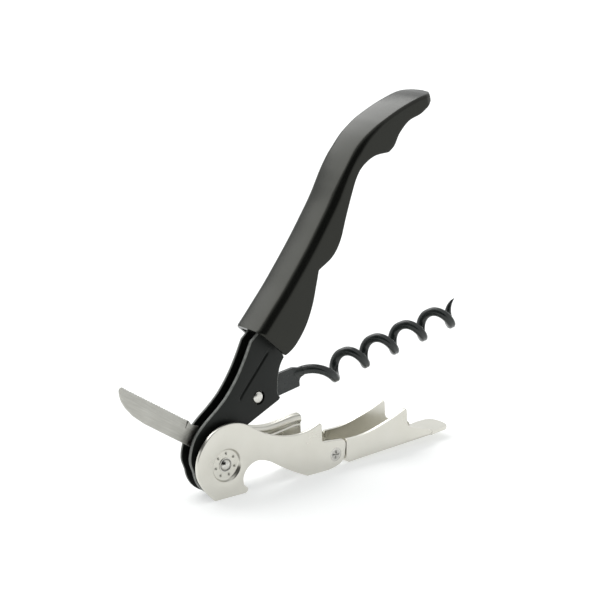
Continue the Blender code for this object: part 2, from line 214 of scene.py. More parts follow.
def flatTriangles(loop, circles, extra):
    # triangles that fill a loop round its circular holes, through the extra points
    extra = extra[insideLoop(extra, loop)]
    points = np.concatenate([loop, *circles, extra])
    edges, start = [], 0
    for ring in (loop, *circles):
        numbers = np.arange(len(ring)) + start
        edges += np.stack([numbers, np.roll(numbers, -1)], 1).tolist()
        start += len(ring)
    found = delaunay_2d_cdt([Vector(p) for p in points.tolist()], edges, [], 0, 1e-6)
    corners = np.array([tuple(v) for v in found[0]])
    triangles = np.array(found[2])
    middle = corners[triangles].mean(axis=1)
    keep = insideLoop(middle, loop)
    for circle in circles:
        keep &= ~insideLoop(middle, circle)
    return corners, triangles[keep]


def stampedSheet(name, outline, yFace, yBack, faceRound, backRound, holes=(),
                 pressed=None, extra=np.zeros((0, 2)), marks=None):
    # a small round, a flat edge and another small round carried along the outline, and the
    # sheet's two faces closing it round its holes; pressed(x, z) is how far the sheet is
    # pressed in there, and marks(x, z) how much shade is painted into the colour there; "rim" is 1
    # on the front round, a quarter on the back round, and 0 on the faces and in the holes
    steps, around = 5, 48                         # points of a round, and of a hole
    side = 1 if yBack > yFace else -1
    inward = inwardOf(outline)
    a = np.radians(np.linspace(0, 90, steps))
    inset = np.concatenate([faceRound * (1 - np.sin(a)), backRound * (1 - np.sin(a[::-1]))])
    across = np.concatenate([yFace + side * faceRound * (1 - np.cos(a)),
                             yBack - side * backRound * (1 - np.cos(a[::-1]))])
    flat = outline[:, None, :] + inward[:, None, :] * inset[None, :, None]
    rows, columns = flat.shape[:2]
    rim = np.stack(np.broadcast_arrays(flat[..., 0], across, flat[..., 1]), -1)
    points, faces = [rim.reshape(-1, 3)], gridFaces(rows, columns, True, False)
    edgeValue = np.concatenate([[0], np.ones(steps - 1), np.full(steps - 1, 0.25), [0]])
    rimValues = [np.broadcast_to(edgeValue, (rows, columns)).ravel()]
    paintedShade = [np.zeros(rows * columns)]
    circles = [np.array(arcPoints(centre, r, 0, 360, around + 1))[:-1] for centre, r in holes]

    def pressedIn(x, z):
        return side * pressed(x, z) if pressed else 0 * x

    for column, y in ((0, yFace), (-1, yBack)):
        corners, triangles = flatTriangles(flat[:, column], circles, extra)
        faces += (triangles + sum(map(len, points))).tolist()
        depth = y + pressedIn(*corners.T)
        points.append(np.column_stack([corners[:, 0], depth, corners[:, 1]]))
        rimValues.append(np.zeros(len(corners)))
        paintedShade.append(marks(*corners.T) if marks else np.zeros(len(corners)))
    for circle in circles:
        depth = pressedIn(*circle.T)
        wall = np.stack([np.column_stack([circle[:, 0], y + depth, circle[:, 1]])
                         for y in (yFace, yBack)])
        faces += (np.array(gridFaces(2, around)) + sum(map(len, points))).tolist()
        points.append(wall.reshape(-1, 3))
        rimValues.append(np.zeros(2 * around))
        paintedShade.append(np.zeros(2 * around))
    return newPiece(name, np.concatenate(points), faces,
                    attributes={"rim": np.concatenate(rimValues), "marks": np.concatenate(paintedShade)})


def ringPoints(centre, radii, count):
    # points on circles about a centre, each circle turned half a step from the last
    angle = np.linspace(0, math.tau, count, endpoint=False) + (
        np.arange(len(radii)) % 2)[:, None] * math.pi / count
    radii = np.asarray(radii)[:, None]
    return np.stack([centre[0] + radii * np.cos(angle), centre[1] + radii * np.sin(angle)],
                    -1).reshape(-1, 2)


def smoothStep(value, low, high):
    t = np.clip((value - low) / (high - low), 0, 1)
    return t * t * (3 - 2 * t)


def turnedPiece(name, centre, profile, count=48, ripple=None, closed=True, marks=None):
    # a profile of (y, radius) swung round the y axis at centre; ripple(radius, angle, y)
    # adds a little to y; marks(radius, angle, y) says how much shade is painted into the colour
    # there;
    # the ends are capped if closed, and otherwise the profile runs round to its start
    angle = np.linspace(0, math.tau, count, endpoint=False)
    y, r = np.asarray(profile, float).T
    x = centre[0] + r[:, None] * np.cos(angle)
    z = centre[1] + r[:, None] * np.sin(angle)
    where = r[:, None], angle[None, :], y[:, None]
    depth = y[:, None] + (ripple(*where) if ripple else 0 * x)
    points = np.stack([x, depth, z], -1)
    faces = gridFaces(len(y), count, closeRows=not closed)
    if closed:
        faces += [list(range(count))[::-1], list(range((len(y) - 1) * count, len(y) * count))]
    paintedShade = marks(*where) if marks else 0.0
    return newPiece(name, points, faces, attributes={"marks": paintedShade + 0 * x})


def roundedProfile(corners, radius, steps=5):
    # (y, radius) corners of a turned piece, each inner corner cut by a small round
    p = np.asarray(corners, float)
    out = [p[0]]
    for before, corner, after in zip(p, p[1:], p[2:]):
        one, two = before - corner, after - corner
        reach = min(radius, np.linalg.norm(one) / 2, np.linalg.norm(two) / 2)
        start = corner + one / np.linalg.norm(one) * reach
        end = corner + two / np.linalg.norm(two) * reach
        t = np.linspace(0, 1, steps)[:, None]
        out += list((1 - t) ** 2 * start + 2 * t * (1 - t) * corner + t ** 2 * end)
    return np.array(out + [p[-1]])


def finish(piece, body, material, node):
    piece.data.materials.clear()
    piece.data.materials.append(material)
    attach(piece, body)
    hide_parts(node)
    return piece


def linear(hexColour):
    # sRGB hex to linear colour
    c = np.array([int(hexColour[i:i + 2], 16) for i in (1, 3, 5)]) / 255
    c = np.where(c <= 0.04045, c / 12.92, ((c + 0.055) / 1.055) ** 2.4)
    return (*c.tolist(), 1.0)


def addNode(material, kind, settings=None, links=None):
    # one node: settings are attributes or input values, links are input -> output socket
    node = material.node_tree.nodes.new(kind)
    for key, value in (settings or {}).items():
        if isinstance(key, int) or key in node.inputs:
            node.inputs[key].default_value = value
        else:
            setattr(node, key, value)
    for key, socket in (links or {}).items():
        material.node_tree.links.new(socket, node.inputs[key])
    return node


def newMaterial(name, metallic, roughness, **sockets):
    # the plain roughness is the middle of what most of the materials vary
    material = bpy.data.materials.new(name)
    material.use_nodes = True
    shader = material.node_tree.nodes["Principled BSDF"]
    shader.inputs["Metallic"].default_value = metallic
    shader.inputs["Roughness"].default_value = roughness
    for key, value in sockets.items():
        shader.inputs[key.replace("_", " ")].default_value = value
    return material, shader, addNode(material, "ShaderNodeTexCoord").outputs["Object"]


def scaled(material, coordinates, stretch):
    # coordinates times a stretch per axis, for brushed or drawn-out patterns
    return addNode(material, "ShaderNodeVectorMath", {"operation": "MULTIPLY", 1: stretch},
                   {0: coordinates}).outputs[0]


def noiseAt(material, coordinates, sizeMm, detail=2.0):
    return addNode(material, "ShaderNodeTexNoise",
                   {"Scale": 1 / (sizeMm * mm), "Detail": detail, "Roughness": 0.5},
                   {"Vector": coordinates}).outputs["Fac"]


def ranged(material, value, low=0, high=1):
    # noise mostly lies between 0.3 and 0.7, and is spread from low to high
    return addNode(material, "ShaderNodeMapRange",
                   {"From Min": 0.3, "From Max": 0.7, "To Min": low, "To Max": high},
                   {"Value": value}).outputs["Result"]


def mixedColour(material, factor, one, two):
    # factor between two colours, each a hex string or a socket
    node = addNode(material, "ShaderNodeMix", {"data_type": "RGBA"})
    for socket, value in ((node.inputs[6], one), (node.inputs[7], two)):
        if isinstance(value, str):
            socket.default_value = linear(value)
        else:
            material.node_tree.links.new(value, socket)
    material.node_tree.links.new(factor, node.inputs[0])
    return node.outputs[2]


def bumpFrom(material, height, depthMm, strength):
    return addNode(material, "ShaderNodeBump", {"Distance": depthMm * mm, "Strength": strength},
                   {"Height": height}).outputs["Normal"]


def joinShader(material, shader, **links):
    for key, socket in links.items():
        material.node_tree.links.new(socket, shader.inputs[key.replace("_", " ")])
    return material


def satinNickelPlate():
    # stamped steel, barrel finished then nickel plated: a soft, slightly warm mirror with a
    # faint grain of about 0.25 mm, a little hazier in patches some 8 mm wide
    m, shader, at = newMaterial("satinNickelPlate", 1.0, 0.3)
    broad = noiseAt(m, at, sizeMm=8.0)
    grain = noiseAt(m, scaled(m, at, (0.15, 1.0, 1.0)), sizeMm=0.25)
    colour = mixedColour(m, ranged(m, broad), "#d3d1c8", "#d9d7cf")
    # painted shade: the marks attribute darkens the colour in the punch marks round the rivet
    marks = addNode(m, "ShaderNodeAttribute", {"attribute_name": "marks"}).outputs["Fac"]
    colour = mixedColour(m, marks, colour, "#5f5e58")
    return joinShader(m, shader, Base_Color=colour, Roughness=ranged(m, broad, low=0.27, high=0.33),
                      Normal=bumpFrom(m, grain, depthMm=0.002, strength=0.5))


def polishedRivetSteel():
    # cold-headed rivet, nickel plated: bright, with tiny hammer marks about 0.4 mm across
    m, shader, at = newMaterial("polishedRivetSteel", 1.0, 0.2)
    marks = noiseAt(m, at, sizeMm=0.4)
    colour = mixedColour(m, ranged(m, marks), "#c9c8c2", "#dedcd7")
    # painted shade: the marks attribute darkens the colour in the main rivet's groove, in the hinge
    # head's star grooves and in the middle of the hinge head
    paintedShade = addNode(m, "ShaderNodeAttribute", {"attribute_name": "marks"}).outputs["Fac"]
    colour = mixedColour(m, paintedShade, colour, "#4c4b47")
    return joinShader(m, shader, Base_Color=colour, Roughness=ranged(m, marks, low=0.16, high=0.3),
                      Normal=bumpFrom(m, marks, depthMm=0.02, strength=0.5))


def blackCoatedSteel():
    # sheet steel with a baked black coat: even satin with fine orange peel of 0.3 mm, and a
    # painted highlight along the cut edges ("rim"), lighter grey in patches
    m, shader, at = newMaterial("blackCoatedSteel", 0.0, 0.42, Specular_IOR_Level=0.28,
                                Specular_Tint=linear("#f3f7f4"))
    rim = addNode(m, "ShaderNodeAttribute", {"attribute_name": "rim"}).outputs["Fac"]
    broad = noiseAt(m, at, sizeMm=4.0, detail=3.0)
    peel = noiseAt(m, at, sizeMm=0.3, detail=1.0)
    body = mixedColour(m, ranged(m, broad), "#0f110f", "#151715")
    patches = ranged(m, noiseAt(m, at, sizeMm=1.2, detail=3.0), low=0.5, high=1.0)
    # painted highlight: lighter grey on the front round of the edges, broken into patches
    paintedEdgeHighlight = addNode(m, "ShaderNodeMath", {"operation": "MULTIPLY", "use_clamp": True},
                  {0: rim, 1: patches}).outputs[0]
    colour = mixedColour(m, paintedEdgeHighlight, body, "#8f918d")
    return joinShader(m, shader, Base_Color=colour, Roughness=ranged(m, broad, low=0.36, high=0.48),
                      Normal=bumpFrom(m, peel, depthMm=0.006, strength=0.4))


def nonStickWire():
    # tempered wire with a baked black non-stick coat: smooth, faintly green-grey, semi-gloss
    m, shader, at = newMaterial("nonStickWire", 0.0, 0.22, Specular_IOR_Level=0.45)
    broad = noiseAt(m, at, sizeMm=3.0, detail=3.0)
    grain = noiseAt(m, at, sizeMm=0.35)
    colour = mixedColour(m, ranged(m, broad), "#1a1f1e", "#282d2b")
    return joinShader(m, shader, Base_Color=colour, Roughness=ranged(m, broad, low=0.22, high=0.32),
                      Normal=bumpFrom(m, grain, depthMm=0.006, strength=0.5))


def brushedBladeSteel():
    # hardened strip, belt ground along the blade: streaks about 0.1 mm wide drawn coarser
    # here, at 0.25 mm, so that they show, and stretched along the blade
    m, shader, at = newMaterial("brushedBladeSteel", 1.0, 0.36)
    turn = addNode(m, "ShaderNodeMapping", {"Rotation": (0.0, math.radians(blade["angle"]), 0.0)},
                   {"Vector": at}).outputs[0]
    streaks = noiseAt(m, scaled(m, turn, (0.06, 1.0, 1.0)), sizeMm=0.25)
    broad = noiseAt(m, at, sizeMm=3.5)
    colour = mixedColour(m, ranged(m, streaks), "#aeada7", "#b9b8b2")
    return joinShader(m, shader, Base_Color=colour, Roughness=ranged(m, broad, low=0.3, high=0.44),
                      Normal=bumpFrom(m, streaks, depthMm=0.004, strength=0.5))


def softTouchBlack():
    # moulded plastic with a soft-touch lacquer: matt charcoal, a faint even grain of 0.3 mm
    # and slightly glossier patches where hands have rubbed it
    m, shader, at = newMaterial("softTouchBlack", 0.0, 0.35, Specular_IOR_Level=0.36,
                                Specular_Tint=linear("#f2f3e6"))
    broad = noiseAt(m, at, sizeMm=9.0, detail=3.0)
    grain = noiseAt(m, at, sizeMm=0.3, detail=1.0)
    colour = mixedColour(m, ranged(m, broad), "#131412", "#171816")
    return joinShader(m, shader, Base_Color=colour, Roughness=ranged(m, broad, low=0.2, high=0.26),
                      Normal=bumpFrom(m, grain, depthMm=0.01, strength=0.35))


lever = {
    "wallOut": 5.05, "sheet": 0.9,        # outer face of the walls, and the sheet
    "cornerEase": 0.3, "faceRound": 0.24, "backRound": 0.1,
    "dishRadius": 4.35, "dishDepth": 0.8,
    "dishIn": 0.45, "dishOut": 0.15,      # how far its wall runs inside and outside its radius
    "roundLug": 6.5,                      # right arm's plain round end
    "webStart": 26.2, "webEnd": 33.2, "webInset": 0.5, "webShort": 0.6,
    "hole": 1.8, "hingeHole": 1.8,
    "stakeMarks": 7, "stakeRing": 3.0, "stakeWide": 0.32, "stakeTurn": 0.3, "stakeDepth": 0.25,
}
discBack = [(-7.3, 4.0), (-9.0, 7.2), (-9.3, 10.0), (-8.7, 12.8), (-7.2, 15.4), (-3.9, 18.4),
            (0.4, 19.6), (3.3, 19.4), (5.8, 18.6), (8.7, 16.8)]
ledgeLine = [(12.0, 14.9), (16.1, 13.3), (19.9, 12.4), (23.7, 12.1), (27.3, 12.7), (30.3, 13.7)]
ledgeRoll = [(4.62, -1.6), (4.55, -0.9), (4.2, -0.5), (3.75, -0.55), (3.4, -1.0), (3.35, -1.7),
             (3.8, -2.3), (4.0, -2.8), (3.7, -3.4)]           # y and depth below the ledge's top
farLedgeLine = [(12.0, 14.8), (15.0, 13.95), (18.0, 13.4), (20.5, 13.3), (23.2, 13.55),
                (26.0, 13.95), (28.5, 14.25), (30.2, 14.3)]
archLine = [(25.2, 0.45), (21.0, 2.5), (16.8, 4.9), (13.9, 6.7), (11.6, 7.6), (9.6, 7.9),
            (7.6, 7.3), (6.0, 6.0), (5.2, 4.2), (5.5, 2.3), (6.7, 1.2)]


def forkRuns():
    # from the ledge's point down to the fork and round its end about the hinge
    hx = hinge[0]
    end = [(hx + 3.3, 6.9)] + arcPoints(hinge, 3.35, 0, -75, 6) + [(hx - 1.0, 0.2)]
    return [[(30.9, 13.2)], [(31.1, 8.7)], [(31.5, 8.2)], [(hx + 2.6, 7.6)], end,
            [(lever["webEnd"], 0.0)]]


def buildLeverStageOne(plate):
    out, sheet = lever["wallOut"], lever["sheet"]
    bottom = [[(lever["webStart"] - 0.12, 0.0)], [(lever["webStart"], 0.0)]]
    leftRuns = [discBack + ledgeLine] + forkRuns() + bottom + [
        archLine, [(6.6, 0.5)], [(6.0, 0.0)], [(-3.8, 0.0)]]
    lug = arcPoints(pivot, lever["roundLug"], 300, 60, 24)
    rightRuns = [lug[1:] + [(8.0, 14.9)] + farLedgeLine] + forkRuns() + bottom + [
        archLine[:3], [(12.5, 6.0)], [(8.0, 4.6), lug[0]]]
    r = lever["dishRadius"]
    # rings of points for the dish: wide apart on its floor, close together on its wall
    rings = ringPoints(pivot, np.concatenate([np.linspace(1.95, r - 0.55, 17),
                                              np.linspace(r - 0.45, r + 0.2, 9)]), 120)
    holes = ((pivot, lever["hole"]), (hinge, lever["hingeHole"]))
    # punchMarks also paints shade into the colour of the punch marks
    arms = [stampedSheet(name, easedOutline(runs, lever["cornerEase"]), side * out,
                         side * (out - sheet), lever["faceRound"], lever["backRound"], holes,
                         dishDepth, rings, punchMarks)
            for name, side, runs in (("leverStageOne", -1, leftRuns), ("rightArm", 1, rightRuns))]
    piece = joinTools(arms[0], (arms[1], "UNION"), (leverWeb(), "UNION"),
                      (rolledLedge(-1, ledgeLine), "UNION"),
                      (rolledLedge(1, farLedgeLine), "UNION"))
    evenNormals(piece, 50, True)
    return finish(piece, "lever_base", plate, "lever_stage_one")


def dishDepth(x, z):
    # how far the sheet is pressed in: a flat-bottomed dish, with a ring of punch marks
    # where the rivet was staked
    radius = np.hypot(x - pivot[0], z - pivot[1])
    dish = 1 - smoothStep(radius, lever["dishRadius"] - lever["dishIn"],
                          lever["dishRadius"] + lever["dishOut"])
    return lever["dishDepth"] * dish + lever["stakeDepth"] * punchMarks(x, z)


def punchMarks(x, z):
    # 1 in the middle of each mark of the ring, 0 between them
    x, z = x - pivot[0], z - pivot[1]
    ring = np.exp(-((np.hypot(x, z) - lever["stakeRing"]) / lever["stakeWide"]) ** 2)
    turn = (np.arctan2(z, x) + lever["stakeTurn"]) * lever["stakeMarks"]
    return ring * np.clip(np.cos(turn), 0, 1) ** 5


def leverWeb():
    # floor of the fork: a flat strip between the walls, carried from end to end
    out, sheet = lever["wallOut"], lever["sheet"]
    half = out - lever["webInset"]
    section = np.array([(-half, 0.0), (half, 0.0), (half, sheet), (-half, sheet)])
    ends = np.array([lever["webStart"], lever["webEnd"] - lever["webShort"]])
    points = np.stack(np.broadcast_arrays(ends[:, None], *section.T), -1)
    return newPiece("leverWeb", points, gridFaces(2, 4) + endCaps(2, 4))


def rolledLedge(side, line):
    # the wall's top edge rolled inward, down and in again: the sheet's middle line walks
    # along ledgeRoll, is given its thickness, and is carried along the ledge
    line = smoothRun([(12.6, line[0][1] - 0.2), *line[1:-1], (30.3, line[-1][1] - 0.1)], 0.5)
    middle = smoothRun(ledgeRoll, 0.25)
    along = np.gradient(middle, axis=0)
    along /= np.linalg.norm(along, axis=1)[:, None]
    thinned = 0.44                                # half the sheet, drawn a little thinner
    out = np.stack([-along[:, 1], along[:, 0]], 1) * lever["sheet"] * thinned
    section = np.concatenate([middle + out, (middle - out)[::-1]])
    rows, columns = len(line), len(section)
    points = np.stack(np.broadcast_arrays(line[:, :1], side * section[:, 0],
                                          line[:, 1:] + section[:, 1]), -1)
    return newPiece("rolledLedge", points, gridFaces(rows, columns) + endCaps(rows, columns))


stageTwo = {
    "wallOut": 5.05, "sheet": 0.9, "bendRound": 1.0,
    "start": 39.3, "floorStart": 40.9,
    "floorFrom": 41.2, "floorLow": 0.45, "floorRise": 0.0472,     # underside height, its slope
    "cutHigh": 2.6, "cutLong": 5.0, "edgeRound": 0.12,
    "lugOut": 3.8, "lugRadius": 2.9, "lugHole": 1.6, "lugRound": 0.12,
    "ear": [(5.6, -2.4), (5.6, 0.7), (3.0, 0.9)],                 # from the hinge
    "joggle": [(4.0, 1.9), (5.4, 1.8), (5.4, 4.4), (4.0, 4.4)],   # from the hinge, and height
}
wingTop = [(39.3, 7.3), (44.4, 7.35), (48.0, 7.9), (51.6, 8.8), (56.0, 10.1), (60.0, 11.6)]
wingEnd = [(60.35, 11.55), (60.6, 11.1), (60.7, 10.2), (60.8, 8.6), (60.95, 7.3), (61.4, 6.5),
           (62.2, 6.1), (66.0, 4.8), (69.6, 3.4), (70.1, 2.5), (70.25, 1.75)]
tongueHalf = [(70.2, 4.62), (73.0, 4.4), (76.0, 4.1), (76.9, 3.6), (77.5, 2.6), (77.75, 1.6),
              (77.85, 0.7)]


def buildStageTwo(plate):
    # a folded sheet: the section runs down the left wall, round the bend, over the floor
    # and up the right wall; the wall's height and the floor's width change along x
    s = stageTwo
    top = smoothRun(wingTop, 0.5)
    end = smoothRun(wingEnd, 0.3)
    x = np.concatenate([top[:, 0], end[:, 0], np.array(tongueHalf)[1:, 0]])
    height = np.concatenate([top[:, 1], end[:, 1], np.zeros(len(tongueHalf) - 1)])
    low = s["floorLow"] + (x - s["floorFrom"]) * s["floorRise"]
    half = np.interp(x, *np.array(tongueHalf).T)
    bendRound = s["bendRound"]
    rise = np.clip(height - low, 0.0, None)
    wall = np.clip(rise - bendRound, 0.0, None)          # straight part of the wall
    bend = np.arccos(np.clip(1 - rise / bendRound, 0.0, 1.0))
    flat = np.where(x < tongueHalf[0][0], s["wallOut"] - bendRound, half)
    # each point of the left half takes a share of the bend, of the wall and of the floor
    walls = ([(1, t, 1) for t in np.linspace(1, 0, 9)[:-1]]
             + [(t, 0, 1) for t in np.linspace(1, 0, 8)[:-1]])
    floor = [(0, 0, t) for t in np.linspace(1, -1, 15)]
    y, z = [], []
    for bendPart, wallPart, floorPart in walls + floor:
        y.append(flat * floorPart + bendRound * np.sin(bend * bendPart))
        z.append(low + bendRound * (1 - np.cos(bend * bendPart)) + wall * wallPart)
    y, z = np.array(y).T, np.array(z).T
    y = np.concatenate([-y, y[:, :len(walls)][:, ::-1]], axis=1)
    z = np.concatenate([z, z[:, :len(walls)][:, ::-1]], axis=1)
    # the sheet's near end is cut back towards the floor, so that it clears the fork's round
    back = np.clip(1 - (z - s["floorLow"]) / s["cutHigh"], 0, 1) ** 2
    back *= s["floorStart"] - s["start"]
    fade = np.clip(1 - (x - s["start"]) / s["cutLong"], 0, 1)[:, None]
    grid = np.stack([x[:, None] + back * fade, y, z], -1)
    piece = newPiece("leverStageTwo", grid, gridFaces(*y.shape, closeColumns=False), closed=False)
    thick = piece.modifiers.new("sheet", "SOLIDIFY")
    thick.thickness, thick.offset, thick.use_even_offset = s["sheet"] * mm, -1.0, False
    edge = piece.modifiers.new("edge", "BEVEL")
    edge.width, edge.segments, edge.limit_method = s["edgeRound"] * mm, 3, "ANGLE"
    edge.angle_limit = math.radians(50)
    even = piece.modifiers.new("evenNormals", "WEIGHTED_NORMAL")
    even.weight = 60
    finish(piece, "lever_tip", plate, "lever_stage_two")
    for side in (-1, 1):
        buildHingeLug(side, plate)


def buildHingeLug(side, plate):
    # an ear that steps in from the wall and turns on the hinge rivet
    s = stageTwo
    hx, hz = hinge
    ear = easedOutline([arcPoints(hinge, s["lugRadius"], 60, 300, 24),
                        *[[(hx + x, hz + z)] for x, z in s["ear"]]], 0.3)
    lug = stampedSheet("hingeLug" + ("Left" if side < 0 else "Right"), ear,
                       side * s["lugOut"], side * (s["lugOut"] - s["sheet"]),
                       s["lugRound"], s["lugRound"], ((hinge, s["lugHole"]),))
    step = easedOutline([[(hx + x, z)] for x, z in s["joggle"]], 0.2)
    joggle = stampedSheet("joggle", step, side * (s["wallOut"] - 0.3),
                          side * (s["lugOut"] - s["sheet"] + 0.1), 0.1, 0.1)
    joinTools(lug, (joggle, "UNION"))
    evenNormals(lug, 50, True)
    return finish(lug, "lever_tip", plate, "lever_stage_two")


rivets = {
    # (y, radius): the main rivet's height above the dish, the pins' from the middle
    "main": [(0.85, 0.0), (0.83, 0.35), (0.74, 0.75), (0.55, 1.1), (0.32, 1.33), (0.14, 1.42),
             (0.12, 1.58), (0.2, 1.66), (0.22, 1.78), (0.16, 1.9), (0.02, 1.9), (-0.1, 1.5)],
    "groove": 1.52, "grooveWide": 0.14,       # between the main rivet's dome and its collar
    "hingeHead": 1.74, "dome": 0.08, "star": 0.6, "starDepth": 0.2,
    "wormPin": [(2.5, 0.0), (2.48, 0.5), (2.4, 1.0), (2.22, 1.4), (2.05, 1.58), (1.9, 1.6)],
    "bladePin": [(2.45, 0.0), (2.42, 0.6), (2.34, 1.0), (2.2, 1.22), (2.0, 1.25)],
}


def buildRivets(bright):
    r, out = rivets, lever["wallOut"]
    dish = np.array(r["main"]) + (out - lever["dishDepth"], 0.0)

    def grooveShade(radius, angle, y):
        # painted shade down in the groove
        return np.exp(-((radius - r["groove"]) / r["grooveWide"]) ** 2)

    main = turnedPiece("mainRivet", pivot, mirrored(dish), 64, marks=grooveShade)
    finish(evenNormals(main, 60), "lever_base", bright, "main_rivet")

    head = r["hingeHead"]
    rings = np.linspace(0, head, 18)
    dome = np.stack([out + r["dome"] - 0.1 * (rings / head) ** 4, rings], 1)
    dome = np.concatenate([dome, [(out - 0.75, head), (out - 0.85, 1.5), (out - 1.0, 1.45)]])

    def star(radius, angle, y):
        # the head is spread by a star punch: grooves that fade towards the rim
        groove = np.clip(np.cos(angle * 4 + 0.4), 0, 1) ** 1.5
        fade = np.exp(-((radius - r["star"]) / r["star"]) ** 2)
        return groove * fade * (np.abs(y) > out - 0.2)

    def starRipple(radius, angle, y):
        return -np.sign(y) * r["starDepth"] * star(radius, angle, y)

    def starMarks(radius, angle, y):
        # painted shade in the star's grooves, and the middle of the head painted darker
        return 0.6 * star(radius, angle, y) + 0.3 * (1 - smoothStep(radius, 1.1, 1.6))

    tip = turnedPiece("hingeRivet", hinge, mirrored(dome), 96, starRipple, marks=starMarks)
    finish(evenNormals(tip, 60), "lever_base", bright, "hinge_rivet")

    for name, centre, node in (("wormPin", wormPin, "worm_pin"),
                               ("bladePin", bladePin, "blade_pin")):
        pin = turnedPiece(name, centre, mirrored(r[name]), 48)
        finish(evenNormals(pin, 60), "handle", bright, node)


washers = {      # centre, inner and outer radius, distances of the two faces, body
    "lever": (pivot, 1.8, 4.0, 2.65, 2.95, "lever_base"),
    "worm": (wormPin, 1.9, 2.9, 0.85, 1.15, "handle"),
    "blade": (bladePin, 1.55, 2.6, 0.7, 1.15, "handle"),
}


def buildWashers(bright):
    # flat rings with eased edges, one each side: the section swung round the pin
    for side, word in ((-1, "left"), (1, "right")):
        for kind, (centre, inner, outer, near, far, body) in washers.items():
            y0, y1 = side * near, side * far
            middle = ((y0 + y1) / 2, inner)
            corners = [middle, (y1, inner), (y1, outer), (y0, outer), (y0, inner), middle]
            ring = turnedPiece(kind + "Washer" + word.capitalize(), centre,
                               roundedProfile(corners, 0.08, 3)[:-1], closed=False)
            finish(evenNormals(ring, 50), body, bright, kind + "_washer_" + word)


framePlate = {
    "inner": 1.45, "sheet": 0.9, "round": 8.4,
    "cornerEase": 0.5, "faceRound": 0.3, "backRound": 0.1,
    "mainHole": 1.8, "wormHole": 1.9, "bladeHole": 1.55, "rivetHole": 1.2,
    "rivets": ((18.6, 44.5), (21.3, 48.0)),
    "creaseDepth": 0.3, "creaseHalf": 0.32, "creaseReach": 0.7,
    "crease": [(15.6, 35.8), (13.2, 32.9), (10.4, 29.6), (8.2, 27.0), (6.75, 25.2), (6.35, 24.5),
               (6.4, 23.8)],
}


def frameRuns():
    back = [(-9.4, 11.0), (-9.0, 14.0), (-7.9, 16.8), (-5.3, 19.6), (-0.7, 23.3), (1.6, 25.4),
            (3.7, 27.9), (5.9, 31.1), (7.6, 34.2), (9.9, 39.0)]
    tab = [[(11.6, 40.4)], [(13.8, 42.5), (16.9, 46.4), (19.8, 50.0)], [(23.6, 48.8)],
           [(21.0, 44.1), (17.6, 37.6)], [(19.6, 34.9)]]
    front = [[(20.5, 33.0)], [(19.5, 31.5), (18.7, 28.9), (18.4, 26.1), (18.6, 23.3), (19.3, 22.3)],
             [(18.7, 21.7)], [(8.7, 17.1)], [(7.4, 15.6), (7.3, 13.6)]]
    return [back] + tab + front + [arcPoints(pivot, framePlate["round"], 20, -172, 40)]


def buildFramePlates(coat):
    f = framePlate
    outline = easedOutline(frameRuns(), f["cornerEase"])
    crease = smoothRun(f["crease"], 0.12)
    aside = inwardOf(crease)
    reach = np.linspace(-f["creaseReach"], f["creaseReach"], 15)[:, None, None]
    extra = (crease + aside * reach).reshape(-1, 2)

    def creaseDepth(x, z):
        # a rounded groove along the crease, fading at both ends
        away = np.hypot(x[:, None] - crease[:, 0], z[:, None] - crease[:, 1])
        t = np.argmin(away, axis=1) / (len(crease) - 1)
        fade = smoothStep(t, -0.02, 0.1) * (1 - smoothStep(t, 0.93, 1.02))
        groove = np.exp(-(away.min(axis=1) / f["creaseHalf"]) ** 2)
        return f["creaseDepth"] * fade * np.clip(groove - 0.02, 0, None)

    holes = ((pivot, f["mainHole"]), (wormPin, f["wormHole"]), (bladePin, f["bladeHole"]),
             (f["rivets"][0], f["rivetHole"]), (f["rivets"][1], f["rivetHole"]))
    for side, word in ((-1, "Left"), (1, "Right")):
        out = f["inner"] + f["sheet"]
        piece = stampedSheet("framePlate" + word, outline, side * out, side * f["inner"],
                             f["faceRound"], f["backRound"], holes, creaseDepth, extra)
        evenNormals(piece, 50, True)
        finish(piece, "handle", coat, "frame_plate_" + word.lower())


grip = {
    "half": 5.8, "wall": 1.2, "spineWall": 1.4, "edgeRound": 2.3, "tipRound": 0.9, "lipRound": 0.4,
    "crown": 0.1,                          # how much the spine stands up in its middle
    "cornerStations": (5, 13),             # where the finger side has a corner
    "channelEnd": 16.0, "fillet": 0.8,     # station where the channel ends, and its inner round
    "tipWall": 0.35, "innerLeast": 0.3,
}
spineLine = [(10.3, 41.9), (12.2, 44.0), (15.5, 47.8), (18.6, 51.4), (21.5, 55.1), (24.4, 58.9),
             (27.4, 63.0), (30.0, 66.8), (33.3, 71.8), (36.0, 76.4), (38.4, 80.4), (41.2, 84.4),
             (44.6, 87.9), (48.6, 90.7), (51.6, 92.3), (54.6, 93.7), (58.0, 95.1), (62.5, 96.6),
             (65.2, 97.2), (66.9, 97.4), (68.2, 97.5), (68.9, 97.45)]
fingerLine = [(18.6, 34.5), (21.7, 36.7), (25.0, 41.1), (27.2, 46.3), (28.4, 51.2), (29.3, 55.3),
              (33.8, 58.2), (36.4, 62.1), (38.2, 67.9), (40.1, 73.7), (41.8, 78.0), (43.9, 80.7),
              (47.7, 82.8), (52.6, 83.3), (54.4, 84.8), (56.2, 87.9), (59.4, 90.8), (63.4, 92.2),
              (66.1, 93.9), (67.4, 95.2), (68.5, 96.3), (69.0, 96.9)]
tipHalf = [(0, 5.5), (0.06, 5.68), (0.16, 5.8), (17, 5.8), (18, 5.72), (19, 5.1), (20, 3.4),
           (21, 1.0)]                      # station and half width


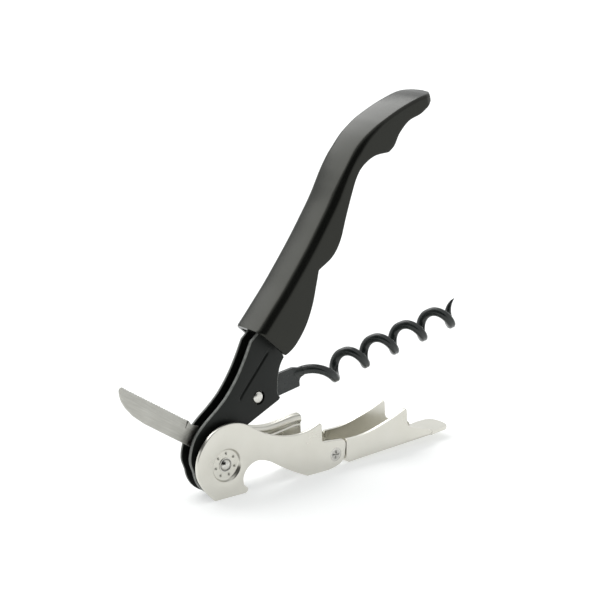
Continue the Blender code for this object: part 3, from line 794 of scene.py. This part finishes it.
def buildGrip(rubber):
    # sections carried from the frame to the tip: each is the spine, a round edge, the side,
    # the finger edge and back up the inside of the channel, mirrored across the middle
    g = grip
    u = np.linspace(0, len(spineLine) - 1, (len(spineLine) - 1) * 9 + 1)
    knots = np.arange(len(spineLine))
    spine = cubicThrough(spineLine, knots, u)
    finger = np.zeros_like(spine)
    edges = (0, *g["cornerStations"], len(spineLine) - 1)
    for a, b in zip(edges, edges[1:]):
        inside = (u >= a) & (u <= b)
        finger[inside] = cubicThrough(fingerLine[a:b + 1], knots[a:b + 1], u[inside])
    run = finger - spine
    depth = np.linalg.norm(run, axis=1)
    run /= depth[:, None]
    half = np.interp(u, *np.array(tipHalf).T)
    edge = g["edgeRound"] + (g["tipRound"] - g["edgeRound"]) * smoothStep(u, 10, 14)
    edge = np.minimum(edge, np.minimum(depth * 0.42, half * 0.6))
    lip = np.minimum(g["lipRound"], depth * 0.1)
    solid = smoothStep(u, g["channelEnd"] - 1, g["channelEnd"])
    roof = g["spineWall"] + (depth - g["tipWall"] - g["spineWall"]) * solid
    inner = np.clip(half - g["wall"], g["innerLeast"], None)
    fillet = g["fillet"]
    y, t = [], []
    for k in np.linspace(0, 1, 8)[:-1]:                  # spine, slightly crowned
        y.append((half - edge) * k)
        t.append(g["crown"] * k * k + 0 * depth)
    for a in np.radians(np.linspace(0, 90, 11)):         # round edge
        y.append(half - edge + edge * math.sin(a))
        t.append(g["crown"] + edge * (1 - math.cos(a)))
    sideStart = g["crown"] + edge
    for k in np.linspace(0, 1, 8)[1:-1]:                 # side
        y.append(half)
        t.append(sideStart + (depth - lip - sideStart) * k)
    for a in np.radians(np.linspace(0, 90, 5)):          # finger edge, outside
        y.append(half - lip + lip * math.cos(a))
        t.append(depth - lip + lip * math.sin(a))
    small = np.minimum(lip, 0.2)
    for a in np.radians(np.linspace(90, 0, 4)):          # finger edge, inside
        y.append(inner + small - small * math.cos(a))
        t.append(depth - small + small * math.sin(a))
    for k in (0.33, 0.66):
        y.append(inner)
        t.append(depth - small + (roof + fillet - depth) * k)
    for a in np.radians(np.linspace(0, 90, 5)):          # fillet under the spine
        y.append(inner - np.minimum(fillet, inner * 0.5) * (1 - math.cos(a)))
        t.append(np.maximum(roof, 0)
                 + np.minimum(fillet, depth - small - roof) * (1 - math.sin(a)))
    y.append(0 * depth)
    t.append(roof)
    y, t = np.array(y).T, np.array(t).T
    y = np.concatenate([-y, y[:, 1:-1][:, ::-1]], axis=1)
    t = np.concatenate([t, t[:, 1:-1][:, ::-1]], axis=1)
    points = np.stack([spine[:, :1] + run[:, :1] * t, y, spine[:, 1:] + run[:, 1:] * t], -1)
    rows, columns = y.shape
    piece = newPiece("gripShell", points, gridFaces(rows, columns) + endCaps(rows, columns))
    evenNormals(piece, 45)
    finish(piece, "handle", rubber, "grip_shell")


worm = {
    "angle": 10.4, "offset": -2.35, "wire": 1.25, "coil": 2.75, "pitch": 10.5,
    "coilStart": 21.5, "coilEase": 6.0, "startHigh": 0.45,
    "tip": 73.0, "point": 3.2, "pointOut": 0.6, "groove": 0.16, "grooveHalf": 0.34,
    "wireStart": 13.2, "pressed": 3.0,         # where the wire is pressed thinner, and how long
    "tangHalf": 0.55, "tangRound": 2.9, "tangHole": 1.9,
    "tang": [[(14.6, -2.94)], [(14.7, -1.54)], [(15.05, -0.9), (15.6, -0.6), (16.6, -0.5)],
             [(16.6, 1.6)], [(14.9, 2.2)], [(13.5, 2.76)], [(9.1, 2.95)]],
}


def alongWorm(a, f):
    # drawing x and z of what lies a along the screw from its pin and f above that line
    t = math.radians(worm["angle"])
    return (wormPin[0] + a * math.cos(t) - f * math.sin(t),
            wormPin[1] + a * math.sin(t) + f * math.cos(t))


def buildWorm(coat):
    # the wire's centre leaves the tang high and eases into a right-handed helix: the turn
    # grows with the square of the way, and past the easing in step with it; the round
    # section is carried along, with a shallow groove on its outer side once past the tang
    w = worm
    a = np.linspace(w["wireStart"], w["tip"], 330)
    past = a - w["coilStart"]
    eased = np.where(past < w["coilEase"],
                     np.clip(past + w["coilEase"], 0, None) ** 2 / (4 * w["coilEase"]), past)
    turn = -math.tau * eased / w["pitch"]
    high = w["startHigh"] * smoothStep(-past, 0, w["coilEase"])
    ease = np.clip((a - w["wireStart"]) / w["pressed"], 0, 1)[:, None]
    taper = np.clip((w["tip"] - a) / w["point"], 0.03, 1) ** 0.65
    # the point is ground from the inside, so it lies further out
    coil = w["coil"] + w["pointOut"] * w["wire"] * (1 - taper)
    centre = np.stack([a, w["offset"] + high + coil * np.cos(turn), coil * np.sin(turn)], -1)
    along = np.gradient(centre, axis=0)
    along /= np.linalg.norm(along, axis=1)[:, None]
    away = np.stack([0 * a, np.cos(turn), np.sin(turn)], -1)
    side = np.cross(along, away)
    side /= np.linalg.norm(side, axis=1)[:, None]
    away = np.cross(side, along)
    q = np.linspace(0, math.tau, 24, endpoint=False)
    grooved = 1 - w["groove"] * np.exp(-(np.angle(np.exp(1j * q)) / w["grooveHalf"]) ** 2)
    r = w["wire"] * taper[:, None] * np.where(ease < 1, 1, grooved[None, :])
    up, across = r * np.cos(q), r * np.sin(q)
    across = across * (0.5 + 0.5 * ease)                 # pressed thinner at the tang
    local = (centre[:, None, :] + away[:, None, :] * up[..., None]
             + side[:, None, :] * across[..., None])
    x, z = alongWorm(local[..., 0], local[..., 1])
    points = np.stack([x, local[..., 2], z], -1)
    rows, columns = points.shape[:2]
    wire = newPiece("worm", points, gridFaces(rows, columns) + endCaps(rows, columns))
    runs = [[alongWorm(a, f) for a, f in run]
            for run in [arcPoints((0, 0), w["tangRound"], 90, 270, 24), *w["tang"]]]
    tang = stampedSheet("tang", easedOutline(runs, 0.3), -w["tangHalf"], w["tangHalf"], 0.1, 0.1)
    hole = turnedPiece("tangHole", wormPin, [(-3, w["tangHole"]), (3, w["tangHole"])], 36)
    joinTools(wire, (tang, "UNION"), (hole, "DIFFERENCE"))
    evenNormals(wire, 50)
    finish(wire, "worm_screw", coat, "worm")


blade = {
    "angle": 147.0, "half": 0.4, "length": 32.4, "hole": 1.55,
    "heel": 2.85, "edgeFall": 0.02, "backFall": 0.012,    # round end, and the fall beyond it
    "groundFrom": 8.8, "ground": 2.2, "edge": 0.07, "backEase": 0.8,
    "teeth": (9.4, 31.2), "tooth": 0.9, "toothDepth": 0.14,
    "easeOver": 7, "easeFrom": 30, "easeTo": -6,          # sections that are eased together
}
bladeEdge = [(5.0, 2.75), (6.7, 2.35), (7.7, 2.3), (8.8, 2.83), (12.0, 2.83), (20.0, 2.83),
             (31.3, 2.83), (31.9, 2.8), (32.25, 2.55), (32.4, 2.2)]
bladeBack = [(4.0, -2.8), (12.0, -2.79), (20.7, -2.75), (25.0, -2.3), (28.2, -1.35), (30.2, -0.3),
             (31.4, 0.75), (32.1, 1.5), (32.4, 2.0)]


def buildBlade(steel):
    # sections across the blade from its back to its cutting edge: full thickness at the
    # back, then ground down to the edge, which has small scallops
    b = blade
    heel, edgeStart, backStart = b["heel"], bladeEdge[0][0], bladeBack[0][0]
    u = np.concatenate([-heel * np.cos(np.radians(np.linspace(0, 75, 12))),
                        np.linspace(-0.5, b["length"] - 0.02, 330)])
    u = np.unique(u)
    roundHalf = np.sqrt(np.clip(heel ** 2 - np.clip(u, None, 0) ** 2, 0.0025, None))
    edge = np.minimum(roundHalf, heel - b["edgeFall"] * np.clip(u, 0, edgeStart))
    edge = np.where(u < edgeStart, edge, np.interp(u, *np.array(bladeEdge).T))
    back = np.minimum(roundHalf, heel - b["backFall"] * np.clip(u, 0, backStart))
    back = np.where(u < backStart, -back, np.interp(u, *np.array(bladeBack).T))
    eased, share = slice(b["easeFrom"], b["easeTo"]), np.ones(b["easeOver"]) / b["easeOver"]
    for line in (edge, back):                            # eased along the blade
        line[eased] = np.convolve(line, share, "same")[eased]
    cutting = (u > b["teeth"][0]) & (u < b["teeth"][1])
    edge = edge - cutting * b["toothDepth"] * np.abs(np.sin(math.pi * u / b["tooth"]))
    k = np.array([0, 0.03, 0.1, 0.3, 0.5, 0.65, 0.78, 0.9, 1.0])
    w = back[:, None] + (edge - back)[:, None] * k
    fromEdge = edge[:, None] - w
    thick = b["half"] * np.clip(fromEdge / b["ground"], b["edge"] / b["half"], 1)
    thick = np.where((u < b["groundFrom"])[:, None], b["half"], thick)
    thick[:, 0] *= b["backEase"]
    near, far = (np.stack(np.broadcast_arrays(u[:, None], y, w), -1) for y in (-thick, thick))
    points = np.concatenate([near, far[:, ::-1]], 1)
    t = math.radians(b["angle"])
    x = bladePin[0] + points[..., 0] * math.cos(t) + points[..., 2] * math.sin(t)
    z = bladePin[1] + points[..., 0] * math.sin(t) - points[..., 2] * math.cos(t)
    points = np.stack([x, points[..., 1], z], -1)
    rows, columns = points.shape[:2]
    piece = newPiece("foilBlade", points, gridFaces(rows, columns) + endCaps(rows, columns))
    hole = turnedPiece("bladeHole", bladePin, [(-3, b["hole"]), (3, b["hole"])], 36)
    joinTools(piece, (hole, "DIFFERENCE"))
    evenNormals(piece, 25)
    finish(piece, "blade_leaf", steel, "foil_blade")


studio = {
    "floorHalf": 6.0, "floorDrop": 0.00005,     # metres; a hair below, so nothing lies in it
    "camera": (-0.28928, -0.36219, 0.16869), "tilt": 75.2, "turn": -38.4, "lens": 110.76,
    "white": 0.92, "dark": 0.01, "darkInner": 38.0, "darkOuter": 62.0, "floorGlow": 0.52,
    "daylight": (0.985, 1.0, 1.0, 1.0),
    "panelPower": 15.0, "panelWide": 2.0, "panelDeep": 1.0, "panelAt": (-0.25, 0.95, 1.15),
}


def buildStudio():
    scene = bpy.context.scene
    mesh = bpy.data.meshes.new("floor")
    corner = np.array([(-1, -1), (1, -1), (1, 1), (-1, 1)]) * studio["floorHalf"]
    corner = np.column_stack([corner, np.full(4, -studio["floorDrop"])])
    mesh.from_pydata(corner, [], [[0, 1, 2, 3]])
    floor = bpy.data.objects.new("floor", mesh)
    scene.collection.objects.link(floor)
    paper, shader, at = newMaterial("whitePaper", 0.0, 0.9)
    fibres = noiseAt(paper, at, sizeMm=0.8, detail=3.0)
    colour = mixedColour(paper, ranged(paper, fibres), "#c8c8c7", "#cdcdcc")
    joinShader(paper, shader, Base_Color=colour)
    shader.inputs["Specular IOR Level"].default_value = 0.0
    shader.inputs["Emission Color"].default_value = studio["daylight"]
    shader.inputs["Emission Strength"].default_value = studio["floorGlow"]
    mesh.materials.append(paper)

    # a room of even light, dark in a round patch whose angles are measured from straight
    # behind the camera
    world = bpy.data.worlds.new("studio")
    scene.world = world
    world.use_nodes = True
    turn, tilt = math.radians(studio["turn"]), math.radians(studio["tilt"])
    behind = (math.sin(turn) * math.sin(tilt), -math.cos(turn) * math.sin(tilt), math.cos(tilt))
    toCamera = addNode(world, "ShaderNodeVectorMath", {"operation": "DOT_PRODUCT", 1: behind},
                       {0: addNode(world, "ShaderNodeTexCoord").outputs["Generated"]})
    shade = addNode(world, "ShaderNodeMapRange",
                    {"interpolation_type": "SMOOTHSTEP",
                     "From Min": math.cos(math.radians(studio["darkOuter"])),
                     "From Max": math.cos(math.radians(studio["darkInner"])),
                     "To Min": studio["white"], "To Max": studio["dark"]},
                    {"Value": toCamera.outputs["Value"]})
    background = world.node_tree.nodes["Background"]
    world.node_tree.links.new(shade.outputs["Result"], background.inputs["Strength"])
    background.inputs["Color"].default_value = studio["daylight"]

    lamp = bpy.data.lights.new("backPanel", "AREA")
    lamp.shape, lamp.size, lamp.size_y = "RECTANGLE", studio["panelWide"], studio["panelDeep"]
    lamp.energy = studio["panelPower"]
    panel = bpy.data.objects.new("backPanel", lamp)
    panel.location = studio["panelAt"]
    panel.rotation_euler = (-math.atan2(studio["panelAt"][1], studio["panelAt"][2]), 0.0, 0.0)
    scene.collection.objects.link(panel)

    eye = bpy.data.cameras.new("camera")
    eye.lens, eye.sensor_width = studio["lens"], 36.0
    eye.clip_start, eye.clip_end = 0.01, 50.0
    camera = bpy.data.objects.new("camera", eye)
    camera.location = studio["camera"]
    camera.rotation_euler = (tilt, 0.0, turn)
    scene.collection.objects.link(camera)
    scene.camera = camera
    scene.view_settings.view_transform = "Standard"


plateFinish, rivetFinish, coatFinish = satinNickelPlate(), polishedRivetSteel(), blackCoatedSteel()
print("materials ready")
buildLeverStageOne(plateFinish)
print("first stage ready")
buildStageTwo(plateFinish)
print("second stage ready")
buildRivets(rivetFinish)
buildWashers(rivetFinish)
print("rivets and washers ready")
buildFramePlates(coatFinish)
print("frame ready")
buildGrip(softTouchBlack())
print("grip ready")
buildWorm(nonStickWire())
print("worm ready")
buildBlade(brushedBladeSteel())
print("blade ready")

# CAD nodes whose shape is right keep it, and take the finished materials
for node, material in (("frame_spacer", coatFinish), ("frame_rivet_lower", rivetFinish),
                       ("frame_rivet_upper", rivetFinish)):
    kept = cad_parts[node]
    kept.data.materials.clear()
    kept.data.materials.append(material)

buildStudio()
print("studio ready")
